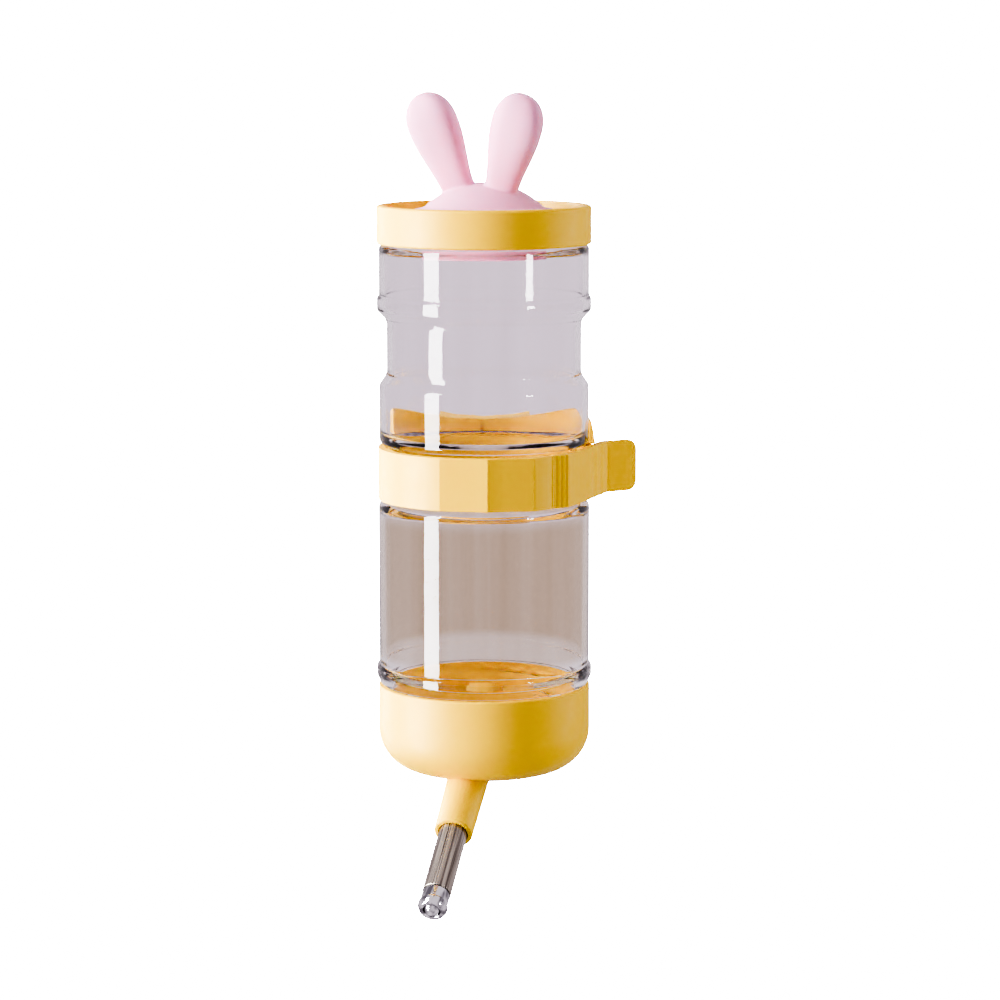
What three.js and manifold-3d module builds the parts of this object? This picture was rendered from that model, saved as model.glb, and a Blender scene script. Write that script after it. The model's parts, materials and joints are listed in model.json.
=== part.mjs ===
// Small-animal water bottle with a screw-on lid, a rabbit-eared silicone stopper, an angled
// drinking spout, and a hinged ring that bolts to the wires of a cage.
// Millimetres. +Z is up, +Y points from the bottle to the cage. The origin is where the axis of
// the clamp screw crosses the saddle face of the bracket.
import * as THREE from 'three';
import { mergeVertices } from 'three/addons/utils/BufferGeometryUtils.js';
import Module from 'manifold-3d';

// ---------------------------------------------------------------- driving dimensions
const GAP = 0.3; // clearance between neighbouring pieces
const BOTTLE_Y = -44; // bottle axis, measured from the saddle face
const ROUND = 40; // facets of the large turned pieces
const SMALL_ROUND = 20; // facets of the tubes and screws
const TINY_ROUND = 12; // facets of the hinge pin

const WALL = 1.9; // bottle wall
const NECK_R = 30.6; // upper neck, under the lid
const BASE_NECK_R = 30.4; // lower neck, in the base cap
const BODY_R = 32.9;
const RIB_R = 33.5;
const WAIST_R = 30.5;
const GROOVE_R = 29.15; // groove that the ring holds
const LOWER_R = 33.2;
const BASE_RIB_R = 34;
const NECK_TOP = 77.8;
const SHOULDER_TOP = 71.5;
const SHOULDER_BOTTOM = -66.9;
const NECK_BOTTOM = -74.4;

const THREAD_LEAD = 9; // three-start quick thread on both necks
const THREAD_STARTS = 3;
const RIDGE_HEIGHT = 1.2;
const RIDGE_ARC = 55; // degrees
const RIDGE_STEPS = 6;

const LID_R = 33.55;
const LID_BOTTOM = 71.9;
const LID_TOP = 83.9;
const LID_FLOOR = 80.9; // floor of the recess that the stopper lies in
const LID_DISC = 1.7; // thickness of that floor
const LID_RECESS_R = 31;
const LID_SKIRT_R = 31.9; // inside of the skirt
const LID_HOLE_R = 19.9;
const EDGE = 0.8; // small rounding of the lid's edges

const DOME_R = 26.5; // sphere that the stopper's top is part of
const DOME_CENTRE = 64.4;
const STOPPER_FLANGE_R = 22.3;
const STOPPER_FLANGE = 1.3;
const PLUG_R = 19.5;
const PLUG_BOTTOM = 67.9;
const PLUG_WALL = 2.6;

const EAR_LENGTH = 31.2;
const EAR_ROOT = 4; // length buried in the dome
const EAR_HALF_WIDTH = 8;
const EAR_FLATNESS = 0.62; // thickness over width
const EAR_SPACING = 7.2; // from the middle of the dome
const EAR_FORWARD = 3.8;
const EAR_SPLAY = 18.5; // degrees
const EAR_LEAN = 12;
const EAR_YAW = 20; // the stopper is turned this far towards -X

const CAP_R = 33.5;
const CAP_TOP = -67.4;
const CAP_BOTTOM = -94.8;
const CAP_FILLET = 15.5;
const CAP_THREAD_R = 31.6; // inside of the threaded part
const CAP_SHELF = -76.4; // ledge under the base gasket
const CAP_INNER_R = 28.6;
const CAP_FLOOR = -92;

const SPOUT_START_X = -1.1; // where the spout starts, to the side of the bottle's axis
const SPOUT_START_Z = -84;
const SPOUT_TILT = 57.7; // degrees from straight down
const SPOUT_YAW = 12.9; // degrees from straight ahead towards -X
const SLEEVE_END = 44.5; // lengths along the spout, from its start
const SLEEVE_ROOT_R = 6.75;
const SLEEVE_TIP_R = 6;
const BOSS_R = 8;
const BOSS_START = 1.5;
const SEAT_END = 7; // depth of the grommet's seat
const SEAT_R = 6.4;
const TUBE_R = 4.4;
const TUBE_WALL = 0.5;
const TUBE_END = 69.8;
const TIP_R = 4.3;
const TIP_SHANK_R = 3.75;
const TIP_BORE_R = 3.2;
const TIP_END = 77.2;
const BALL_R = 2.95;
const BALL_AT = 75.1;
const SPRING_COIL_R = 2.4;
const SPRING_WIRE_R = 0.25;
const SPRING_TURNS = 5;

const BAND_HALF = 8.2; // half the height of the ring
const RING_R = 30.9; // inside of the strap and bracket
const BAND_R = 33.3; // outside of the ring
const STRAP_WALL = 2.4;
const PAD_R = 29.6; // inside of the rubber pads
const PAD_OUT_R = 30.6;
const PAD_HALF = 7.8;
const FLAT_FROM = -24; // start of the flat facet at the front of the strap, in degrees
const TEETH = [ // corners of the facets after it: radius and angle
  [BAND_R, 2],
  [32.5, 10.7],
  [34.3, 26.7],
  [32.6, 41.7],
  [34.2, 50],
  [32.6, 62.7],
];
const TAIL_FROM = 79; // where the strap leaves the circle
const TAIL_END = new THREE.Vector2(38.2, 12.5);
const TAB_DIRECTION = 30; // degrees from +X
const TAB_LENGTH = 11.6;
const TAB_HALF = 8.2;
const TAB_CORNER = 3.1;

const HINGE_AZIMUTH = -100;
const HINGE_R = 31.8; // distance of the pin from the bottle axis
const KNUCKLE_R = 2;
const KNUCKLE_HALF = 3.1; // half height of the strap's knuckle
const PIN_R = 0.9;
const PIN_BORE_R = 1.05;
const HINGE_CLEAR = 4.3; // degrees between the pin and the full wall

const ARM_FROM = 91; // right-hand end of the bracket
const CHEEK_FROM = 104;
const LIP_FROM = 92; // above the ring the right-hand cheek reaches further forward
const LIP_GAP = 0.6;
const CHEEK_R = 35.2;
const CHEEK_RIM = [ // top edge of the cheeks seen from behind: distance to the side and height
  [0, 12.7],
  [10, 13.4],
  [20, 15.4],
  [30, 18.8],
  [31.8, 18.2],
  [33.5, 16.4],
  [34.6, 12.6],
  [CHEEK_R, BAND_HALF],
];
const CHEEK_TOP = 18.8;
const BLOCK_HALF = 15;
const SCREW_R = 3.8;
const SCREW_HOLE_R = 4.1;
const SCREW_HEAD_R = 6.8;
const SCREW_HEAD = 3.4;
const HEAD_SEAT = -5.6; // floor of the pocket for the screw's head
const SCREW_END = 34;

const WIRE_GAP = 5; // space for the cage wires
const PLATE_HALF_WIDTH = 15;
const PLATE_HALF_HEIGHT = 11;
const PLATE = 3.2;
const PLATE_CORNER = 4;
const PLATE_BOSS_R = 8.5;
const PLATE_BOSS = 1.8;
const WASHER = 1;
const KNOB = 13.5;
const KNOB_R = 10.4;
const KNOB_LOBE = 1.2;
const KNOB_LOBES = 6;

// ---------------------------------------------------------------- materials
const material = (color, roughness, metalness = 0, opacity = 1) =>
  new THREE.MeshStandardMaterial({ color, roughness, metalness, opacity, transparent: opacity < 1 });
const YELLOW = material(0xf3cf78, 0.5);
const CLEAR = material(0xe9e2e8, 0.06, 0, 0.3);
const PINK = material(0xebcdde, 0.62);
const RUBBER = material(0xe6e4de, 0.8);
const STEEL = material(0xb9b2a8, 0.3, 1);
const POLISHED = material(0xd8d6d2, 0.1, 1);

// ---------------------------------------------------------------- geometry tools
const wasm = await Module();
wasm.setup();

// One closed body: shared vertices merged, empty triangles dropped, faces pointing out.
function closed(geometry) {
  const bare = geometry.clone();
  bare.deleteAttribute('normal');
  bare.deleteAttribute('uv');
  const merged = mergeVertices(bare, 1e-4);
  const position = merged.attributes.position;
  const source = merged.index.array;
  const index = [];
  const [a, b, c] = [new THREE.Vector3(), new THREE.Vector3(), new THREE.Vector3()];
  let volume = 0;
  for (let i = 0; i < source.length; i += 3) {
    const [i0, i1, i2] = [source[i], source[i + 1], source[i + 2]];
    if (i0 === i1 || i1 === i2 || i2 === i0) continue;
    index.push(i0, i1, i2);
    a.fromBufferAttribute(position, i0);
    b.fromBufferAttribute(position, i1);
    c.fromBufferAttribute(position, i2);
    volume += a.dot(b.cross(c));
  }
  if (volume < 0) index.reverse();
  merged.setIndex(index);
  merged.computeVertexNormals();
  return merged;
}

function solid(geometry) {
  const body = closed(geometry);
  return new wasm.Manifold(
    new wasm.Mesh({
      numProp: 3,
      vertProperties: new Float32Array(body.attributes.position.array),
      triVerts: new Uint32Array(body.index.array),
    }),
  );
}

function fromSolid(body) {
  const result = body.getMesh();
  const geometry = new THREE.BufferGeometry();
  geometry.setAttribute('position', new THREE.BufferAttribute(result.vertProperties, 3));
  geometry.setIndex(new THREE.BufferAttribute(result.triVerts, 1));
  geometry.computeVertexNormals();
  return geometry;
}

const joined = (...pieces) => pieces.map(solid).reduce((whole, piece) => whole.add(piece));
const cutBy = (whole, ...tools) => tools.map(solid).reduce((rest, tool) => rest.subtract(tool), whole);

const radians = THREE.MathUtils.degToRad;

// A point on a circle about the bottle axis; the angle runs from the front (-Y) towards +X.
const polar = (radius, degrees) =>
  new THREE.Vector2(radius * Math.sin(radians(degrees)), -radius * Math.cos(radians(degrees)));

// Points of a round corner in a profile, from one angle to another, in degrees.
function corner(centreR, centreZ, radius, from, to, steps = 4) {
  const points = [];
  for (let i = 0; i <= steps; i += 1) {
    const angle = radians(from + ((to - from) * i) / steps);
    points.push([centreR + radius * Math.cos(angle), centreZ + radius * Math.sin(angle)]);
  }
  return points;
}

// Turned about +Z. A profile that starts and ends off the axis closes on itself.
function turned(profile, facets = ROUND) {
  const points = profile.map(([r, z]) => new THREE.Vector2(r, z));
  const onAxis = profile[0][0] === 0 && profile.at(-1)[0] === 0;
  if (!onAxis) points.push(points[0].clone());
  return new THREE.LatheGeometry(points, facets).rotateX(Math.PI / 2);
}

const rod = (radius, from, to, facets = SMALL_ROUND) =>
  turned([[0, from], [radius, from], [radius, to], [0, to]], facets);

const ring = (inner, outer, from, to, facets = ROUND) =>
  turned([[inner, from], [outer, from], [outer, to], [inner, to]], facets);

function extruded(points, from, to) {
  const geometry = new THREE.ExtrudeGeometry(new THREE.Shape(points), {
    depth: to - from,
    bevelEnabled: false,
  });
  return geometry.translate(0, 0, from);
}

function arc(radius, from, to, step = 9) {
  const count = Math.max(1, Math.round(Math.abs(to - from) / step));
  return Array.from({ length: count + 1 }, (_, i) => polar(radius, from + ((to - from) * i) / count));
}

const sector = (inner, outer, from, to, low, high) =>
  extruded([...arc(inner, from, to), ...arc(outer, to, from)], low, high);

function box(low, high) {
  const size = high.map((value, i) => value - low[i]);
  const middle = high.map((value, i) => (value + low[i]) / 2);
  return new THREE.BoxGeometry(...size).translate(...middle);
}

function roundedRectangle(halfWidth, halfHeight, radius, steps = 4) {
  const points = [];
  const corners = [[1, 1, 0], [-1, 1, 90], [-1, -1, 180], [1, -1, 270]];
  for (const [signX, signY, start] of corners) {
    for (let i = 0; i <= steps; i += 1) {
      const angle = radians(start + (90 * i) / steps);
      const x = signX * (halfWidth - radius) + radius * Math.cos(angle);
      points.push(new THREE.Vector2(x, signY * (halfHeight - radius) + radius * Math.sin(angle)));
    }
  }
  return points;
}

// Short ridges of a multi-start thread. A box is bent along the helix.
function threadRidges(rootR, crestR, z, from) {
  const ridges = [];
  for (let start = 0; start < THREAD_STARTS; start += 1) {
    const geometry = new THREE.BoxGeometry(1, 1, 1, 1, 1, RIDGE_STEPS);
    const position = geometry.attributes.position;
    for (let i = 0; i < position.count; i += 1) {
      const radius = rootR + (crestR - rootR) * (position.getX(i) + 0.5);
      const turn = from + RIDGE_ARC * (position.getZ(i) + 0.5);
      const height = z + (THREAD_LEAD * turn) / 360 + RIDGE_HEIGHT * position.getY(i);
      const point = polar(radius, turn + (360 / THREAD_STARTS) * start);
      position.setXYZ(i, point.x, point.y, height);
    }
    ridges.push(geometry);
  }
  return ridges;
}

function named(name, geometry, finish) {
  const mesh = new THREE.Mesh(closed(geometry), finish);
  mesh.name = name;
  return mesh;
}

// ---------------------------------------------------------------- bottle and lid
const RIDGE_SINK = 0.5; // how deep a ridge starts inside its wall
const LID_THREAD_Z = 74;
const BASE_THREAD_Z = -72;
const THREAD_OFFSET = THREAD_LEAD / THREAD_STARTS / 2;

function bottle() {
  const outer = [
    [NECK_R, NECK_TOP],
    [NECK_R, SHOULDER_TOP],
    ...corner(BODY_R - 1, SHOULDER_TOP - 1, 1, 90, 0, 2),
    [BODY_R, 55.6],
    [RIB_R, 55],
    [RIB_R, 51.4],
    [WAIST_R + 0.6, 48.8],
    [WAIST_R, 47.6],
    [WAIST_R, 31.6],
    [WAIST_R + 0.7, 30.2],
    [BODY_R, 28],
    [BODY_R, 12],
    ...corner(BODY_R - 3, 12, 3, 0, -90, 3),
    [GROOVE_R, 8.7],
    [GROOVE_R, -8.7],
    ...corner(LOWER_R - 3.2, -12, 3.2, 90, 0, 3),
    [LOWER_R, -60.6],
    [BASE_RIB_R, -61.4],
    [BASE_RIB_R, -64.1],
    [LOWER_R - 0.4, SHOULDER_BOTTOM],
    [BASE_NECK_R, SHOULDER_BOTTOM],
    [BASE_NECK_R, NECK_BOTTOM],
  ];
  const inner = [
    [BASE_NECK_R - WALL, NECK_BOTTOM],
    [BASE_NECK_R - WALL, SHOULDER_BOTTOM + 1.2],
    [LOWER_R - WALL, SHOULDER_BOTTOM + 4],
    [LOWER_R - WALL, -13],
    [GROOVE_R - WALL, -9.6],
    [GROOVE_R - WALL, 9.6],
    [BODY_R - WALL, 13],
    [BODY_R - WALL, 27],
    [WAIST_R - WALL, 30],
    [WAIST_R - WALL, 48.6],
    [BODY_R - WALL, 52],
    [BODY_R - WALL, SHOULDER_TOP - 2.6],
    [NECK_R - WALL, SHOULDER_TOP - 1.2],
    [NECK_R - WALL, NECK_TOP],
  ];
  const neckRidges = threadRidges(NECK_R - RIDGE_SINK, NECK_R + 0.95, LID_THREAD_Z, 0);
  const baseRidges = threadRidges(BASE_NECK_R - RIDGE_SINK, BASE_NECK_R + 0.95, BASE_THREAD_Z, 0);
  return fromSolid(joined(turned([...outer, ...inner]), ...neckRidges, ...baseRidges));
}

function lidRing() {
  const underside = LID_FLOOR - LID_DISC;
  const profile = [
    [LID_SKIRT_R, LID_BOTTOM],
    ...corner(LID_R - EDGE, LID_BOTTOM + EDGE, EDGE, -90, 0, 2),
    ...corner(LID_R - EDGE, LID_TOP - EDGE, EDGE, 0, 90, 2),
    [LID_RECESS_R + EDGE / 2, LID_TOP],
    [LID_RECESS_R, LID_TOP - EDGE / 2],
    [LID_RECESS_R, LID_FLOOR],
    [LID_HOLE_R, LID_FLOOR],
    [LID_HOLE_R, underside],
    [LID_SKIRT_R, underside],
  ];
  const threadStart = LID_THREAD_Z - THREAD_OFFSET;
  const ridges = threadRidges(LID_SKIRT_R + RIDGE_SINK, LID_SKIRT_R - 0.95, threadStart, 40);
  return fromSolid(joined(turned(profile), ...ridges));
}

const lidGasket = () =>
  ring(NECK_R - WALL + 0.2, LID_SKIRT_R - 0.5, NECK_TOP + GAP, LID_FLOOR - LID_DISC - GAP);

// ---------------------------------------------------------------- stopper with ears
// Half width of an ear at a height, both as fractions: narrow root, widest high up, round tip.
function ear(side) {
  const profile = [[0, -EAR_ROOT], [EAR_HALF_WIDTH * 0.62, -EAR_ROOT]];
  const shape = new THREE.SplineCurve([
    new THREE.Vector2(EAR_HALF_WIDTH * 0.66, 0),
    new THREE.Vector2(EAR_HALF_WIDTH * 0.86, EAR_LENGTH * 0.3),
    new THREE.Vector2(EAR_HALF_WIDTH, EAR_LENGTH * 0.66),
    new THREE.Vector2(EAR_HALF_WIDTH * 0.78, EAR_LENGTH * 0.88),
    new THREE.Vector2(EAR_HALF_WIDTH * 0.42, EAR_LENGTH * 0.975),
  ]);
  for (const point of shape.getPoints(6)) profile.push([point.x, point.y]);
  profile.push([0, EAR_LENGTH]);

  const yaw = radians(EAR_YAW);
  const front = new THREE.Vector3(-Math.sin(yaw), -Math.cos(yaw), 0);
  const right = new THREE.Vector3(Math.cos(yaw), -Math.sin(yaw), 0);
  const up = new THREE.Vector3(0, 0, Math.cos(radians(EAR_SPLAY)) * Math.cos(radians(EAR_LEAN)))
    .addScaledVector(right, side * Math.sin(radians(EAR_SPLAY)))
    .addScaledVector(front, Math.sin(radians(EAR_LEAN)))
    .normalize();
  const across = right.clone().addScaledVector(up, -right.dot(up)).normalize();
  const through = new THREE.Vector3().crossVectors(up, across);
  const root = right.clone().multiplyScalar(side * EAR_SPACING).addScaledVector(front, EAR_FORWARD);
  root.z = DOME_CENTRE + Math.sqrt(DOME_R ** 2 - root.lengthSq());

  const pose = new THREE.Matrix4().makeBasis(across, through, up).setPosition(root);
  return turned(profile, TINY_ROUND).scale(1, EAR_FLATNESS, 1).applyMatrix4(pose);
}

function earStopper() {
  const flangeBottom = LID_FLOOR + GAP;
  const flangeTop = flangeBottom + STOPPER_FLANGE;
  const domeStart = THREE.MathUtils.radToDeg(Math.asin((flangeTop - DOME_CENTRE) / DOME_R));
  const inside = PLUG_R - PLUG_WALL;
  const profile = [
    [inside, PLUG_BOTTOM],
    [PLUG_R - 0.8, PLUG_BOTTOM],
    [PLUG_R, PLUG_BOTTOM + 1],
    [PLUG_R, flangeBottom],
    [STOPPER_FLANGE_R, flangeBottom],
    [STOPPER_FLANGE_R, flangeTop - 0.4],
    ...corner(0, DOME_CENTRE, DOME_R, domeStart, 90, 6).slice(0, -1),
    [0, DOME_CENTRE + DOME_R],
    [0, DOME_CENTRE + DOME_R - PLUG_WALL - 1],
    [inside * 0.6, LID_FLOOR + 4.6],
    [inside, LID_FLOOR + 0.5],
  ];
  return fromSolid(joined(turned(profile), ear(-1), ear(1)));
}

// ---------------------------------------------------------------- base cap and spout
const spoutDirection = new THREE.Vector3(
  -Math.sin(radians(SPOUT_TILT)) * Math.sin(radians(SPOUT_YAW)),
  -Math.sin(radians(SPOUT_TILT)) * Math.cos(radians(SPOUT_YAW)),
  -Math.cos(radians(SPOUT_TILT)),
);
const spoutTurn = new THREE.Quaternion().setFromUnitVectors(new THREE.Vector3(0, 0, 1), spoutDirection);

const alongSpout = (geometry) =>
  geometry.applyQuaternion(spoutTurn).translate(SPOUT_START_X, 0, SPOUT_START_Z);

function baseCap() {
  const filletR = CAP_R - CAP_FILLET;
  const filletZ = CAP_BOTTOM + CAP_FILLET;
  const innerFillet = CAP_INNER_R - filletR;
  const outer = [
    [CAP_R - 0.4, CAP_TOP],
    [CAP_R, CAP_TOP - 0.4],
    ...corner(filletR, filletZ, CAP_FILLET, 0, -90, 6),
    [0, CAP_BOTTOM],
  ];
  const inner = [
    [0, CAP_FLOOR],
    ...corner(filletR, CAP_FLOOR + innerFillet, innerFillet, -90, 0, 5),
    [CAP_INNER_R, CAP_SHELF],
    [CAP_THREAD_R, CAP_SHELF],
    [CAP_THREAD_R, CAP_TOP],
  ];
  const shell = turned([...inner, ...outer]);
  const outline = turned([[0, CAP_FLOOR + CAP_FILLET], ...outer.slice(2)]);
  const boss = alongSpout(rod(BOSS_R, BOSS_START, SLEEVE_END / 2));
  const sleeve = alongSpout(
    turned([
      [0, SEAT_END],
      [SLEEVE_ROOT_R, SEAT_END],
      [SLEEVE_TIP_R, SLEEVE_END - 0.5],
      [SLEEVE_TIP_R - 0.5, SLEEVE_END],
      [0, SLEEVE_END],
    ], SMALL_ROUND),
  );
  const bore = alongSpout(rod(TUBE_R + 0.25, -BOSS_R, SLEEVE_END + 1));
  const seat = alongSpout(rod(SEAT_R, -BOSS_R, SEAT_END));
  const ridges = threadRidges(
    CAP_THREAD_R + RIDGE_SINK,
    CAP_THREAD_R - 0.95,
    BASE_THREAD_Z + THREAD_OFFSET,
    10,
  );
  const whole = joined(shell, sleeve, ...ridges).add(solid(boss).intersect(solid(outline)));
  return fromSolid(cutBy(whole, bore, seat));
}

const baseGasket = () =>
  ring(CAP_INNER_R + 0.2, CAP_THREAD_R - 0.4, CAP_SHELF + GAP, NECK_BOTTOM - GAP);

const tubeGrommet = () =>
  ring(TUBE_R + 0.15, SEAT_R - 0.2, BOSS_START + 0.6, SEAT_END - GAP, SMALL_ROUND);

const drinkTube = () => ring(TUBE_R - TUBE_WALL, TUBE_R, BOSS_START - 1, TUBE_END, SMALL_ROUND);

function tubeTip() {
  const collar = TUBE_END + GAP;
  const profile = [
    [TIP_BORE_R, collar - 6],
    [TIP_SHANK_R, collar - 6],
    [TIP_SHANK_R, collar],
    [TIP_R, collar],
    ...corner(TIP_R - 1.2, TIP_END - 1.2, 1.2, 0, 90, 3),
    [2.75, TIP_END],
    [2.62, TIP_END - 0.4],
    [TIP_BORE_R, BALL_AT + 0.5],
  ];
  return turned(profile, SMALL_ROUND);
}

function valveBall() {
  const sphere = new THREE.SphereGeometry(BALL_R, SMALL_ROUND, TINY_ROUND);
  return sphere.rotateX(Math.PI / 2).translate(0, 0, BALL_AT);
}

class Helix extends THREE.Curve {
  constructor(radius, from, to, turns) {
    super();
    Object.assign(this, { radius, from, to, turns });
  }

  getPoint(t) {
    const angle = 2 * Math.PI * this.turns * t;
    return new THREE.Vector3(
      this.radius * Math.cos(angle),
      this.radius * Math.sin(angle),
      this.from + (this.to - this.from) * t,
    );
  }
}

const RETAINER_TOP = TUBE_END - 4.4;

function ballSpring() {
  const reach = BALL_R + SPRING_WIRE_R + 0.15;
  const end = BALL_AT - Math.sqrt(reach ** 2 - SPRING_COIL_R ** 2);
  const path = new Helix(SPRING_COIL_R, RETAINER_TOP + SPRING_WIRE_R + 0.1, end, SPRING_TURNS);
  const section = new THREE.Shape();
  section.absarc(0, 0, SPRING_WIRE_R, 0, 2 * Math.PI);
  const steps = SPRING_TURNS * 12;
  return new THREE.ExtrudeGeometry(section, { steps, curveSegments: 3, extrudePath: path });
}

const springRetainer = () => ring(1.6, TIP_BORE_R - 0.1, RETAINER_TOP - 1, RETAINER_TOP, SMALL_ROUND);

// ---------------------------------------------------------------- ring that holds the bottle
const hinge = polar(HINGE_R, HINGE_AZIMUTH);

const atHinge = (geometry) => geometry.translate(hinge.x, hinge.y, 0);
const knuckle = (low, high) => atHinge(rod(KNUCKLE_R, low, high, TINY_ROUND));
const pinBore = () => atHinge(rod(PIN_BORE_R, -2 * BAND_HALF, 2 * BAND_HALF, TINY_ROUND));

function strapOutline() {
  const away = polar(1, TAIL_FROM + 90);
  const leave = polar(RING_R + STRAP_WALL / 2, TAIL_FROM);
  const along = TAIL_END.clone().sub(leave).normalize();
  const side = new THREE.Vector2(along.y, -along.x).multiplyScalar(STRAP_WALL / 2);
  return [
    ...arc(BAND_R, HINGE_AZIMUTH + HINGE_CLEAR, FLAT_FROM, 12),
    ...TEETH.map(([radius, degrees]) => polar(radius, degrees)),
    leave.clone().add(side).addScaledVector(away, 1),
    TAIL_END.clone().add(side),
    TAIL_END.clone().sub(side),
    ...arc(RING_R, TAIL_FROM, HINGE_AZIMUTH + HINGE_CLEAR),
  ];
}

// Thumb tab: a flat plate with two round corners, standing off the end of the strap.
function thumbTab() {
  const reach = TAB_LENGTH - TAB_CORNER;
  const height = TAB_HALF - TAB_CORNER;
  const outline = [
    [-1, -TAB_HALF],
    ...corner(reach, -height, TAB_CORNER, -90, 0, 3),
    ...corner(reach, height, TAB_CORNER, 0, 90, 3),
    [-1, TAB_HALF],
  ].map(([x, y]) => new THREE.Vector2(x, y));
  return extruded(outline, -STRAP_WALL / 2, STRAP_WALL / 2)
    .rotateX(Math.PI / 2)
    .rotateZ(radians(TAB_DIRECTION))
    .translate(TAIL_END.x, TAIL_END.y, 0);
}

function strap() {
  const wall = extruded(strapOutline(), -BAND_HALF, BAND_HALF);
  const web = sector(
    RING_R,
    BAND_R,
    HINGE_AZIMUTH,
    HINGE_AZIMUTH + HINGE_CLEAR + 1,
    -KNUCKLE_HALF,
    KNUCKLE_HALF,
  );
  const whole = joined(wall, web, knuckle(-KNUCKLE_HALF, KNUCKLE_HALF), thumbTab());
  return fromSolid(cutBy(whole, pinBore()));
}

const hingePin = () => atHinge(rod(PIN_R, -BAND_HALF + 0.2, BAND_HALF - 0.2, TINY_ROUND));

const strapPad = () => sector(PAD_R, PAD_OUT_R, -88, 68, -PAD_HALF, PAD_HALF);
const bracketPad = () => sector(PAD_R, PAD_OUT_R, 108, 252, -PAD_HALF, PAD_HALF);

// ---------------------------------------------------------------- bracket and cage clamp
function bracket() {
  const leftEnd = 360 + HINGE_AZIMUTH;
  const armTip = [polar(RING_R - 1.2, ARM_FROM), polar(RING_R + 0.7, ARM_FROM)];
  const wallOutline = [
    ...armTip,
    ...arc(BAND_R, CHEEK_FROM, leftEnd - HINGE_CLEAR),
    ...arc(RING_R, leftEnd - HINGE_CLEAR, CHEEK_FROM),
  ];
  const wall = extruded(wallOutline, -BAND_HALF, BAND_HALF);
  const cheek = sector(RING_R, CHEEK_R, CHEEK_FROM, leftEnd - 14, -BAND_HALF, CHEEK_TOP);
  const lip = sector(RING_R, CHEEK_R, LIP_FROM, CHEEK_FROM + 1, BAND_HALF + LIP_GAP, CHEEK_TOP);
  const block = box([-BLOCK_HALF, CHEEK_R - 8, -BAND_HALF], [BLOCK_HALF, -BOTTLE_Y, CHEEK_TOP]);
  // The rim dips in the middle, rises to each side and drops again to the ends.
  const rim = CHEEK_RIM.map(([x, z]) => new THREE.Vector2(x, z));
  const mirrored = CHEEK_RIM.slice(1).map(([x, z]) => new THREE.Vector2(-x, z)).reverse();
  const above = [new THREE.Vector2(CHEEK_R, 2 * CHEEK_TOP), new THREE.Vector2(-CHEEK_R, 2 * CHEEK_TOP)];
  const overCheeks = extruded([...mirrored, ...rim, ...above], 2 * BOTTLE_Y, 0).rotateX(Math.PI / 2);
  const hollow = rod(BAND_R + 0.1, -2 * BAND_HALF, 2 * CHEEK_TOP, ROUND);
  const back = cutBy(joined(cheek, lip, block), hollow, overCheeks);

  const knuckles = [[KNUCKLE_HALF + GAP, BAND_HALF], [-BAND_HALF, -KNUCKLE_HALF - GAP]];
  const hingeEnd = knuckles.flatMap(([low, high]) => [
    knuckle(low, high),
    sector(RING_R, BAND_R, leftEnd - HINGE_CLEAR - 1, leftEnd, low, high),
  ]);
  // A ring of wall behind the band ties the wall to the cheeks.
  const tie = sector(RING_R, CHEEK_R - 0.5, CHEEK_FROM + 2, leftEnd - 16, -BAND_HALF + 0.2, BAND_HALF - 0.2);
  const whole = joined(wall, tie, ...hingeEnd).add(back);

  const alongScrew = (geometry) => geometry.rotateX(-Math.PI / 2).translate(0, -BOTTLE_Y, 0);
  const hole = alongScrew(rod(SCREW_HOLE_R, HEAD_SEAT - 1, 1));
  const pocket = alongScrew(rod(SCREW_HEAD_R + GAP, BOTTLE_Y / 2, HEAD_SEAT));
  return fromSolid(cutBy(whole, hole, pocket, pinBore()));
}

// The pieces below lie along the screw: their own +Z is the model's +Y.
function clampScrew() {
  const headBottom = HEAD_SEAT - GAP - SCREW_HEAD;
  return turned([
    [0, headBottom],
    [SCREW_HEAD_R - 0.6, headBottom],
    [SCREW_HEAD_R, headBottom + 0.6],
    [SCREW_HEAD_R, HEAD_SEAT - GAP],
    [SCREW_R, HEAD_SEAT - GAP],
    [SCREW_R, SCREW_END - 1],
    [SCREW_R - 1, SCREW_END],
    [0, SCREW_END],
  ], SMALL_ROUND);
}

function pressurePlate() {
  const face = roundedRectangle(PLATE_HALF_WIDTH, PLATE_HALF_HEIGHT, PLATE_CORNER);
  const plate = extruded(face, WIRE_GAP, WIRE_GAP + PLATE);
  const boss = rod(PLATE_BOSS_R, WIRE_GAP + 1, WIRE_GAP + PLATE + PLATE_BOSS);
  return fromSolid(cutBy(joined(plate, boss), rod(SCREW_HOLE_R + 0.1, 0, 2 * WIRE_GAP + PLATE)));
}

const washerStart = WIRE_GAP + PLATE + PLATE_BOSS + GAP;
const knobStart = washerStart + WASHER + GAP;

const flatWasher = () =>
  ring(SCREW_HOLE_R + 0.2, PLATE_BOSS_R, washerStart, washerStart + WASHER, SMALL_ROUND);

function knob() {
  const outline = [];
  const steps = KNOB_LOBES * 8;
  for (let i = 0; i < steps; i += 1) {
    const angle = (2 * Math.PI * i) / steps;
    const radius = KNOB_R + KNOB_LOBE * Math.cos(KNOB_LOBES * angle);
    outline.push(new THREE.Vector2(radius * Math.cos(angle), radius * Math.sin(angle)));
  }
  const skirt = 3.5;
  const grip = extruded(outline, knobStart + skirt, knobStart + KNOB);
  const foot = rod(PLATE_BOSS_R, knobStart, knobStart + skirt + 1);
  return fromSolid(cutBy(joined(grip, foot), rod(SCREW_HOLE_R, 0, SCREW_END + knobStart)));
}

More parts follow.
